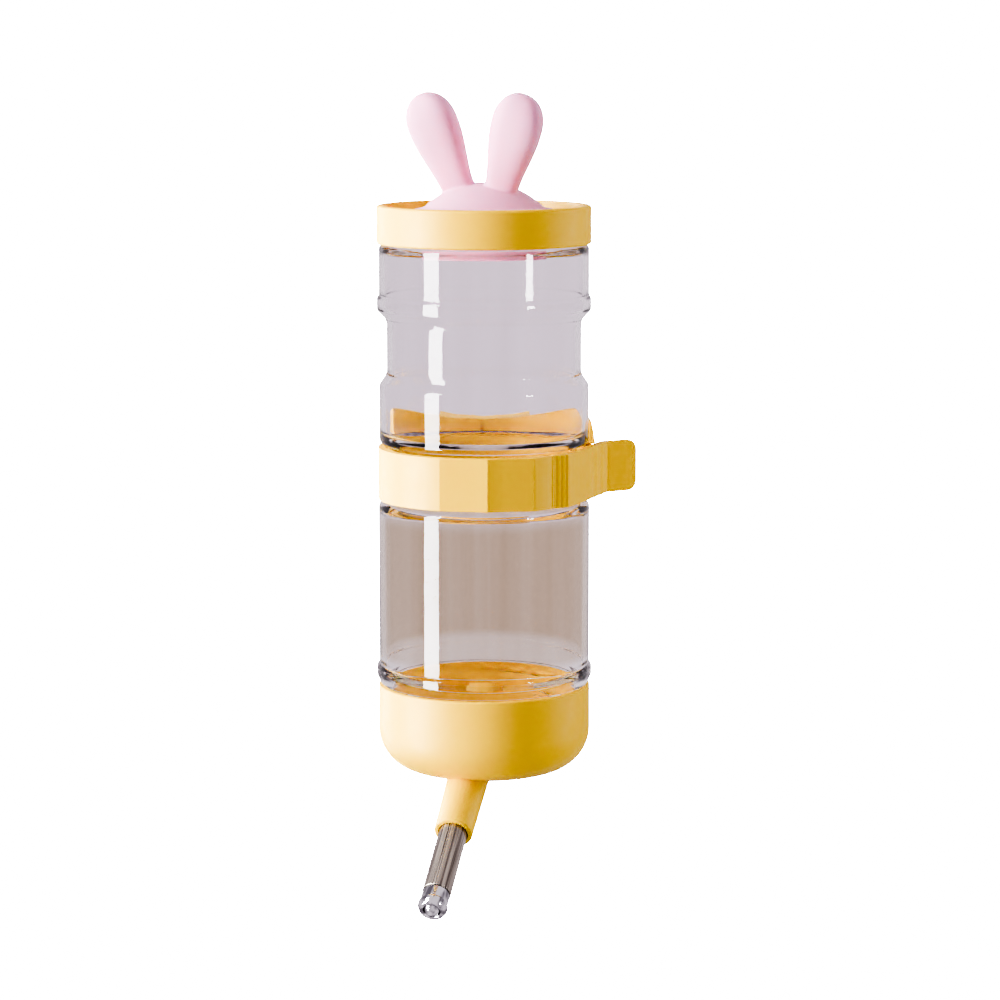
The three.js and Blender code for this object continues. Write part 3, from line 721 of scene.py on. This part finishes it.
def base_cap():
    """A round bowl with the slanted sleeve of the spout; the boss carries the sleeve inside the bowl."""
    top = levels("base_cap")[1]
    radius = reach("base_cap")
    bottom, floor, shelf = top - CAP_HEIGHT, top - CAP_DEPTH, top - CAP_SHELF
    outline = rounded([
        (0, floor, 0), (CAP_WELL_RADIUS, floor, 11), (CAP_WELL_RADIUS, shelf, 0.3),
        (CAP_THREAD_RADIUS, shelf, 0.3), (CAP_THREAD_RADIUS, top, 0.3),
        (radius - 0.1, top, 0.45), (radius, bottom, CAP_ROUND), (0, bottom, 0),
    ], steps=14, closed=False)
    outline = refined(outline, THREAD_STEP, shelf, top)

    def ridges(r, height, degrees):
        if abs(r - CAP_THREAD_RADIUS) > 0.05 or not shelf + 0.2 < height < top - 0.2:
            return 0
        return -THREAD_RISE * thread(height, degrees, BASE_THREAD_HEIGHT + THREAD_OFFSET, 10)

    piece = turned("base_cap_skin", outline, AT_BOTTLE, shift=ridges)
    sleeve = turned("sleeve", rounded([
        (0, SEAT_END, 0), (SLEEVE_ROOT_RADIUS, SEAT_END, 0), (SLEEVE_TIP_RADIUS, SLEEVE_END, 0.7),
        (0, SLEEVE_END, 0),
    ], closed=False), AT_SPOUT, facets=SMALL_FACETS)
    boss = turned("boss", bar(BOSS_RADIUS, BOSS_START, BOSS_END), AT_SPOUT, facets=SMALL_FACETS)
    inset, cover = 0.5, top - CAP_SHELF + 1
    inside = turned("inside", rounded([
        (0, bottom + inset, 0), (radius - inset, bottom + inset, CAP_ROUND - inset),
        (radius - inset, cover, 0), (0, cover, 0),
    ], steps=10, closed=False), AT_BOTTLE, facets=80)
    combined(boss, [inside], "INTERSECT")
    joined(piece, sleeve, boss)
    bore = turned("bore", bar(SLEEVE_BORE_RADIUS, -8, SLEEVE_END + 1), AT_SPOUT, facets=SMALL_FACETS)
    seat = turned("seat", bar(SEAT_RADIUS, -8, SEAT_END), AT_SPOUT, facets=SMALL_FACETS)
    cut(piece, bore, seat)
    return finished(piece, YELLOW, "yellow_plastic", "base", "base_cap")


TUBE_START = 0.5
TUBE_END = 69.8
TUBE_RADIUS = 4.4
TUBE_WALL = 0.5
TIP_END = 77.2
TIP_BORE_RADIUS = 3.2
COLLAR_RADIUS = 4.25
COLLAR_TAIL = 6  # how far the collar goes into the tube
NOSE_RADIUS = 4.6


def tube():
    inner = TUBE_RADIUS - TUBE_WALL
    outline = rounded([
        (inner, TUBE_START, 0.2), (TUBE_RADIUS, TUBE_START, 0.2),
        (TUBE_RADIUS, TUBE_END, 0.15), (inner, TUBE_END, 0.15),
    ])
    piece = turned("steel_tube", outline, AT_SPOUT, facets=SMALL_FACETS)
    return finished(piece, TUBE_STEEL, "brushed_tube", "base", "drink_tube")


def tip():
    collar = TUBE_END + GAP
    outline = rounded([
        (TIP_BORE_RADIUS, collar - COLLAR_TAIL, 0.15), (3.75, collar - COLLAR_TAIL, 0.15),
        (3.75, collar, 0.1), (COLLAR_RADIUS, collar, 0.25), (COLLAR_RADIUS, TIP_END - 3.1, 0.3),
        (NOSE_RADIUS, TIP_END - 2.6, 0.4), (NOSE_RADIUS, TIP_END - 1.5, 0.5), (3.9, TIP_END, 0.8),
        (2.75, TIP_END, 0.35), (2.62, TIP_END - 0.5, 0.1), (TIP_BORE_RADIUS, BALL_ALONG + 0.5, 0.1),
    ])
    piece = turned("tip_collar", outline, AT_SPOUT, facets=SMALL_FACETS)
    return finished(piece, POLISHED, "polished_steel", "base", "tube_tip")


BALL_RADIUS = 2.95


def ball():
    rows = 32
    outline = []
    for i in range(rows + 1):
        angle = math.pi * i / rows
        outline.append((BALL_RADIUS * math.sin(angle), BALL_ALONG - BALL_RADIUS * math.cos(angle)))
    piece = turned("steel_ball", outline, AT_SPOUT, facets=64)
    return finished(piece, POLISHED, "polished_steel", "ball", "valve_ball")


def spring():
    """A coil that stands on the pressed ring and touches the back of the ball."""
    wire, coil, turns, steps = 0.25, 2.4, 5, 150
    low, high = TUBE_END - 4.05, BALL_ALONG - 2.34
    path = []
    for i in range(steps + 1):
        angle = 2 * math.pi * turns * i / steps
        point = Vector((coil * math.cos(angle), coil * math.sin(angle), low + (high - low) * i / steps))
        path.append(point * MM)
    piece = swept("coil_spring", path, wire * MM, AT_SPOUT)
    return finished(piece, WIRE, "spring_steel", "base", "ball_spring")


def ring_piece(name, inner, outer, low, high, place, material, slot, body, node, fillet=0.2):
    corners = ((inner, low), (outer, low), (outer, high), (inner, high))
    outline = rounded([(*corner, fillet) for corner in corners])
    piece = turned(name, outline, place, facets=SMALL_FACETS if outer < 12 else FACETS)
    return finished(piece, material, slot, body, node)


def small_rings():
    low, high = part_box("flat_washer")
    rubber, wire = (RUBBER, "white_rubber"), (WIRE, "spring_steel")
    return [
        ring_piece(
            "lid_seal_ring", 28.9, reach("lid_gasket"), *levels("lid_gasket"), AT_BOTTLE,
            *rubber, "lid_seal", "lid_gasket",
        ),
        ring_piece(
            "base_seal_ring", 28.8, reach("base_gasket"), *levels("base_gasket"), AT_BOTTLE,
            *rubber, "base_seal", "base_gasket",
        ),
        ring_piece(
            "inlet_grommet", 4.55, 6.2, BOSS_START + 0.6, SEAT_END - GAP, AT_SPOUT,
            *rubber, "base", "tube_grommet", fillet=0.4,
        ),
        ring_piece(
            "pressed_ring", 1.6, 3.1, TUBE_END - 5.4, TUBE_END - 4.4, AT_SPOUT,
            *wire, "base", "spring_retainer",
        ),
        ring_piece(
            "thrust_washer", 4.3, reach("flat_washer"), low.y / MM, high.y / MM, AT_CLAMP,
            *rubber, "press", "flat_washer",
        ),
    ]


# ---------------------------------------------------------------- ring round the bottle
BAND_HALF = 8.2
RING_RADIUS = 30.9
BAND_RADIUS = 33.3
HINGE_AZIMUTH = -100
HINGE_CLEAR = 4.3
KNUCKLE_RADIUS = 2
KNUCKLE_HALF = 3.1
PIN_BORE_RADIUS = 1.05
PIN_FACETS = 32
PAD_INSIDE = 29.6
PAD_OUTSIDE = 30.6
TAIL_FROM = 79
TAIL_END = Vector((38.2, 12.5))
STRAP_WALL = 2.4
FLAT_FROM = -24
TEETH = [  # corners of the flat facets: radius and azimuth
    (BAND_RADIUS, 2), (32.5, 10.7), (34.3, 26.7), (33.05, 38), (32.6, 41.7), (34.2, 50), (32.6, 62.7),
]
RIBBED = (38, 50)  # where fine upright ribs cross the facets
RIB_PITCH = 2.4
RIB_DEPTH = 0.28
TAIL_GROOVES = 3


def grooved(start, end, count):
    """Points from start to end, with shallow upright grooves cut between them."""
    along = end - start
    inward = Vector((-along.y, along.x)).normalized() * RIB_DEPTH
    points = [start]
    for rib in range(count):
        for share, depth in ((0.25, 0), (0.4, 1), (0.6, 1), (0.75, 0)):
            points.append(start + along * (rib + share) / count + inward * depth)
    return points


def facets():
    """Corners of the strap's facets, with grooves in the middle ones."""
    points = []
    for (radius, start), (following, end) in zip(TEETH, TEETH[1:] + TEETH[-1:]):
        grooves = int((end - start) / RIB_PITCH) if RIBBED[0] <= start < RIBBED[1] else 0
        points += grooved(polar(radius, start), polar(following, end), grooves)
    return points


def strap_outline():
    leave = polar(RING_RADIUS + STRAP_WALL / 2, TAIL_FROM)
    along = (TAIL_END - leave).normalized()
    side = Vector((along.y, -along.x)) * STRAP_WALL / 2
    return [
        *arc(BAND_RADIUS, HINGE_AZIMUTH + HINGE_CLEAR, FLAT_FROM),
        *facets(),
        *grooved(leave + side + polar(1, TAIL_FROM + 90), TAIL_END + side, TAIL_GROOVES),
        TAIL_END + side,
        TAIL_END - side,
        *arc(RING_RADIUS, TAIL_FROM, HINGE_AZIMUTH + HINGE_CLEAR),
    ]


def soft_bar(radius, low, high, fillet):
    """The outline of a solid round bar with rounded rims."""
    corners = [(0, low, 0), (radius, low, fillet), (radius, high, fillet), (0, high, 0)]
    return rounded(corners, closed=False)


def knuckle(low, high):
    return turned("knuckle", soft_bar(KNUCKLE_RADIUS, low, high, 0.3), AT_HINGE, facets=40)


def pin_bore():
    return turned("pin_bore", bar(PIN_BORE_RADIUS, -20, 20), AT_HINGE, facets=PIN_FACETS)


def strap():
    piece = prism("front_strap", strap_outline(), -BAND_HALF, BAND_HALF, AT_BOTTLE, edge=0.35)
    web = prism(
        "web", sector(RING_RADIUS, BAND_RADIUS, HINGE_AZIMUTH, HINGE_AZIMUTH + HINGE_CLEAR + 1),
        -KNUCKLE_HALF, KNUCKLE_HALF, AT_BOTTLE,
    )
    corner, length, half = 3.2, 11.6, 8.2
    outline = rounded([
        (-1, -half, 0), (length, -half, corner), (length, half, corner), (-1, half, 0),
    ])
    turn = Matrix.Rotation(math.radians(30), 4, "Z") @ Matrix.Rotation(math.pi / 2, 4, "X")
    place = Matrix.Translation(BOTTLE_AXIS + Vector((*TAIL_END, 0)) * MM) @ turn
    tab = prism("tab", outline, -STRAP_WALL / 2, STRAP_WALL / 2, place, edge=0.6)
    joined(piece, web, knuckle(-KNUCKLE_HALF, KNUCKLE_HALF), tab)
    cut(piece, pin_bore())
    piece.data.set_sharp_from_angle(angle=FACETED)
    return finished(piece, YELLOW, "yellow_plastic", "strap", "strap")


def pads():
    half = levels("strap_pad")[1]
    on_strap = sector(PAD_INSIDE, PAD_OUTSIDE, -88, 68)
    on_bracket = sector(PAD_INSIDE, PAD_OUTSIDE, 108, 252)
    strap_pad = prism("strap_grip_pad", on_strap, -half, half, AT_BOTTLE, edge=0.25)
    bracket_pad = prism("bracket_grip_pad", on_bracket, -half, half, AT_BOTTLE, edge=0.25)
    return [
        finished(strap_pad, YELLOW, "yellow_plastic", "strap", "strap_pad"),
        finished(bracket_pad, YELLOW, "yellow_plastic", "holder", "bracket_pad"),
    ]


def hinge_pin():
    low, high = levels("hinge_pin")
    outline = soft_bar(reach("hinge_pin"), low, high, 0.3)
    piece = turned("strap_hinge_pin", outline, AT_HINGE, facets=PIN_FACETS)
    return finished(piece, WIRE, "spring_steel", "holder", "hinge_pin")


# ---------------------------------------------------------------- bracket and cage clamp
ARM_FROM = 91
CHEEK_FROM = 104
LIP_FROM = 92
LIP_GAP = 0.6
CHEEK_RADIUS = 35.2
CHEEK_RIM = [  # top edge seen from behind: distance to the side and height
    (0, 12.7, 0), (10, 13.4, 8), (20, 15.4, 8), (31.2, 18.6, 1.6), (34.0, 15.0, 2),
    (CHEEK_RADIUS, BAND_HALF, 0),
]
BLOCK_HALF = 15
SCREW_RADIUS = 3.8
SCREW_HEAD_RADIUS = 6.8
SCREW_HEAD = 3.4
SCREW_HOLE_RADIUS = 4.1
POCKET_RADIUS = 7.1


def bracket():
    """Half ring, the high cheek behind it with the block for the screw, and the two outer knuckles."""
    left = 360 + HINGE_AZIMUTH
    top = CHEEK_RIM[3][1]
    back = -BOTTLE_AXIS.y / MM
    wall = prism("cage_bracket", [
        polar(RING_RADIUS - 1.2, ARM_FROM), polar(RING_RADIUS + 0.7, ARM_FROM),
        *arc(BAND_RADIUS, CHEEK_FROM, left - HINGE_CLEAR),
        *arc(RING_RADIUS, left - HINGE_CLEAR, CHEEK_FROM),
    ], -BAND_HALF, BAND_HALF, AT_BOTTLE, edge=0.3)
    cheek = prism(
        "cheek", sector(RING_RADIUS, CHEEK_RADIUS, CHEEK_FROM, left - 14), -BAND_HALF, top, AT_BOTTLE
    )
    mirrored = [(-x, z, fillet) for x, z, fillet in reversed(CHEEK_RIM[1:])]
    rim = rounded([*mirrored, *CHEEK_RIM], closed=False)
    side, sky = CHEEK_RADIUS + 1, 60
    upright = AT_BOTTLE @ Matrix.Rotation(math.pi / 2, 4, "X")
    above = prism(
        "above", [*rim, (side, BAND_HALF), (side, sky), (-side, sky), (-side, BAND_HALF)],
        -back - 40, 0, upright,
    )
    hollow = turned("hollow", bar(BAND_RADIUS + 0.1, -20, 40), AT_BOTTLE)
    front = CHEEK_RADIUS - 8
    block = prism(
        "block", [(-BLOCK_HALF, front), (BLOCK_HALF, front), (BLOCK_HALF, back), (-BLOCK_HALF, back)],
        -BAND_HALF, top, AT_BOTTLE, edge=1.2,
    )
    lip = prism(
        "lip", sector(RING_RADIUS, CHEEK_RADIUS, LIP_FROM, CHEEK_FROM + 1),
        BAND_HALF + LIP_GAP, top, AT_BOTTLE,
    )
    joined(cheek, lip, block)
    cut(cheek, hollow, above)
    tie = prism(
        "tie", sector(RING_RADIUS, CHEEK_RADIUS - 0.5, CHEEK_FROM + 2, left - 16),
        -BAND_HALF + 0.2, BAND_HALF - 0.2, AT_BOTTLE,
    )
    hinge_end = []
    for low, high in ((KNUCKLE_HALF + GAP, BAND_HALF), (-BAND_HALF, -KNUCKLE_HALF - GAP)):
        hinge_end.append(knuckle(low, high))
        hinge_end.append(prism(
            "web", sector(RING_RADIUS, BAND_RADIUS, left - HINGE_CLEAR - 1, left), low, high, AT_BOTTLE
        ))
    joined(wall, tie, cheek, *hinge_end)
    hole = turned("hole", bar(SCREW_HOLE_RADIUS, -8, 2), AT_CLAMP, facets=SMALL_FACETS)
    pocket = turned("pocket", bar(POCKET_RADIUS, -24, -5.6), AT_CLAMP, facets=SMALL_FACETS)
    cut(wall, hole, pocket, pin_bore())
    return finished(wall, YELLOW, "yellow_plastic", "holder", "bracket")


SCREW_PITCH = 3
SCREW_GROOVE = 0.45


def screw():
    low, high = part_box("clamp_screw")
    start, end = low.y / MM, high.y / MM
    seat = start + SCREW_HEAD
    outline = rounded([
        (0, start, 0), (SCREW_HEAD_RADIUS, start, 0.6), (SCREW_HEAD_RADIUS, seat, 0.3),
        (SCREW_RADIUS, seat, 0.2), (SCREW_RADIUS, end, 0.9), (0, end, 0),
    ], closed=False)
    outline = refined(outline, 0.35, seat + 0.5, end)

    def groove(radius, height, degrees):
        if abs(radius - SCREW_RADIUS) > 0.05 or height < seat + 7:
            return 0
        turn = ((height + SCREW_PITCH * degrees / 360) / SCREW_PITCH) % 1
        return -SCREW_GROOVE * max(0, math.cos(2 * math.pi * turn))

    piece = turned("clamp_screw_skin", outline, AT_CLAMP, facets=SMALL_FACETS, shift=groove)
    return finished(piece, YELLOW, "yellow_plastic", "holder", "clamp_screw")


FOOT_OF_CLAMP = 8.5  # radius of the plate's boss and of the knob's foot


def plate():
    low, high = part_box("pressure_plate")
    start, end = low.y / MM, high.y / MM
    wide, tall = 15, 11
    face = rounded([(-wide, -tall, 4), (wide, -tall, 4), (wide, tall, 4), (-wide, tall, 4)])
    piece = prism("clamp_plate", face, start, start + 3.2, AT_CLAMP, edge=0.6)
    boss = turned("boss", rounded([
        (0, start + 1, 0), (FOOT_OF_CLAMP, start + 1, 0), (FOOT_OF_CLAMP, end, 0.4), (0, end, 0),
    ], closed=False), AT_CLAMP, facets=SMALL_FACETS)
    joined(piece, boss)
    cut(piece, turned("hole", bar(4.2, 0, 20), AT_CLAMP, facets=SMALL_FACETS))
    return finished(piece, YELLOW, "yellow_plastic", "press", "pressure_plate")


LOBES = 6
LOBE_RADIUS = 10.4
LOBE_RISE = 1.2


def knob():
    low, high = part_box("clamp_knob")
    start, end = low.y / MM, high.y / MM
    steps = 96
    outline = []
    for i in range(steps):
        angle = 2 * math.pi * i / steps
        radius = LOBE_RADIUS + LOBE_RISE * math.cos(LOBES * angle)
        outline.append((radius * math.cos(angle), radius * math.sin(angle)))
    grip = prism("clamp_knob_skin", outline, start + 3.5, end, AT_CLAMP, edge=1.1, segments=4)
    foot = turned("foot", rounded([
        (0, start, 0), (FOOT_OF_CLAMP, start, 0.5), (FOOT_OF_CLAMP, start + 4.5, 0), (0, start + 4.5, 0),
    ], closed=False), AT_CLAMP, facets=SMALL_FACETS)
    joined(grip, foot)
    cut(grip, turned("hole", bar(SCREW_HOLE_RADIUS, 0, 40), AT_CLAMP, facets=SMALL_FACETS))
    return finished(grip, YELLOW, "yellow_plastic", "knob", "clamp_knob")


# ---------------------------------------------------------------- studio
def floor():
    bm = bmesh.new()
    half, steps = 3.0, 24
    bmesh.ops.create_grid(bm, x_segments=steps, y_segments=steps, size=half)
    piece = mesh_object("studio_floor", bm, Matrix.Translation((0, 0, CAD_BOUNDS[0][2] - 0.5)))
    made = Material("studio_paper", Roughness=0.9)
    paper = made.noise(30, detail=3)
    made.drive("Base_Color", made.mixed(paper, (0.50, 0.48, 0.46), (0.54, 0.52, 0.50)))
    piece.data.materials.append(made.data)
    shown = seen_as(made.nodes, made.links, made.shader.outputs["BSDF"])
    made.links.new(shown, made.output.inputs["Surface"])


LILAC = (1.0, 0.90, 0.985)
SEEN = {"Is Glossy Ray": 0.85, "Is Transmission Ray": 0.84, "Is Camera Ray": 30.0}


def seen_as(nodes, links, lit):
    """The shader lit, but the camera sees over-exposed white, and mirrors and glass a soft lilac.

    Light that has already met a dull surface sees the real room instead.
    """
    path = nodes.new("ShaderNodeLightPath")
    direct = nodes.new("ShaderNodeMath")
    direct.operation = "LESS_THAN"
    direct.inputs[1].default_value = 0.5
    links.new(path.outputs["Diffuse Depth"], direct.inputs[0])
    for ray, strength in SEEN.items():
        shown = nodes.new("ShaderNodeEmission")
        shown.inputs["Color"].default_value = (1, 1, 1, 1) if "Camera" in ray else (*LILAC, 1)
        shown.inputs["Strength"].default_value = strength
        seen = nodes.new("ShaderNodeMath")
        seen.operation = "MULTIPLY"
        links.new(path.outputs[ray], seen.inputs[0])
        links.new(direct.outputs["Value"], seen.inputs[1])
        mix = nodes.new("ShaderNodeMixShader")
        links.new(seen.outputs["Value"], mix.inputs[0])
        links.new(lit, mix.inputs[1])
        links.new(shown.outputs["Emission"], mix.inputs[2])
        lit = mix.outputs["Shader"]
    return lit


def world():
    made = bpy.data.worlds.new("studio")
    made.use_nodes = True
    nodes, links = made.node_tree.nodes, made.node_tree.links
    room = nodes["Background"]
    room.inputs["Color"].default_value = (0.97, 0.97, 1.0, 1)
    room.inputs["Strength"].default_value = 0.25
    links.new(seen_as(nodes, links, room.outputs["Background"]), nodes["World Output"].inputs["Surface"])
    bpy.context.scene.world = made


def softbox(name, azimuth, elevation, distance, width, height, watts, on, sheen_only=False):
    """An area light that looks at the bottle and lights only the pieces in on.

    The azimuth runs from the camera's side towards +X. A sheen-only lamp is seen in mirrors and gloss.
    """
    light = bpy.data.lights.new(name, "AREA")
    light.shape = "RECTANGLE"
    light.size, light.size_y = width, height
    light.energy = watts
    lamp = bpy.data.objects.new(name, light)
    bpy.context.scene.collection.objects.link(lamp)
    flat = polar(math.cos(math.radians(elevation)), azimuth)
    away = Vector((flat.x, flat.y, math.sin(math.radians(elevation))))
    lamp.location = BOTTLE_AXIS + away * distance
    lamp.rotation_euler = away.to_track_quat("Z", "Y").to_euler()
    lamp.visible_camera = False
    lamp.visible_diffuse = not sheen_only
    lamp.visible_transmission = False
    lit = bpy.data.collections.new(name)
    for piece in on:
        lit.objects.link(piece)
    lamp.light_linking.receiver_collection = lit


LENS = 121
PITCH = math.radians(8.1)
AIM = BOTTLE_AXIS + Vector((0.005, 0, -0.009))
CAMERA_DISTANCE = 1.06


def camera():
    lens = bpy.data.cameras.new("camera")
    lens.sensor_width, lens.lens = 36, LENS
    lens.clip_start = 0.05
    eye = bpy.data.objects.new("camera", lens)
    bpy.context.scene.collection.objects.link(eye)
    back = Vector((0, -math.cos(PITCH), math.sin(PITCH)))
    eye.location = AIM + back * CAMERA_DISTANCE
    eye.rotation_euler = back.to_track_quat("Z", "Y").to_euler()
    bpy.context.scene.camera = eye


shiny = [bottle(), tube(), tip(), ball(), spring()]
matte = [
    lid(), stopper(), base_cap(), strap(), hinge_pin(), bracket(), screw(), plate(), knob(),
    *pads(), *small_rings(),
]

camera()
world()
floor()
softbox("key_left", -71, 8, 0.95, 0.30, 1.3, 38, on=matte)
softbox("sheen_left", -78, 0, 0.95, 0.4, 1.4, 90, on=matte, sheen_only=True)
softbox("gleam_left", -58, 0, 0.95, 0.30, 1.6, 150, on=shiny)
softbox("gleam_right", 50, 4, 1.0, 0.14, 0.16, 7, on=shiny)
softbox("rim_left", -128, 5, 1.1, 0.7, 1.4, 60, on=matte, sheen_only=True)
softbox("wrap_left", -104, 20, 1.2, 0.8, 1.2, 14, on=matte)
softbox("fill_right", 100, 6, 1.0, 0.5, 1.0, 6.5, on=matte)
softbox("fill_front", 25, 6, 1.2, 0.9, 1.0, 2.6, on=matte)
softbox("bounce", 20, -60, 0.8, 0.7, 0.5, 5.0, on=matte)
softbox("top", 0, 80, 1.0, 0.8, 0.8, 2.0, on=matte)
view = bpy.context.scene.view_settings
view.view_transform = "AgX"
view.look = "AgX - High Contrast"
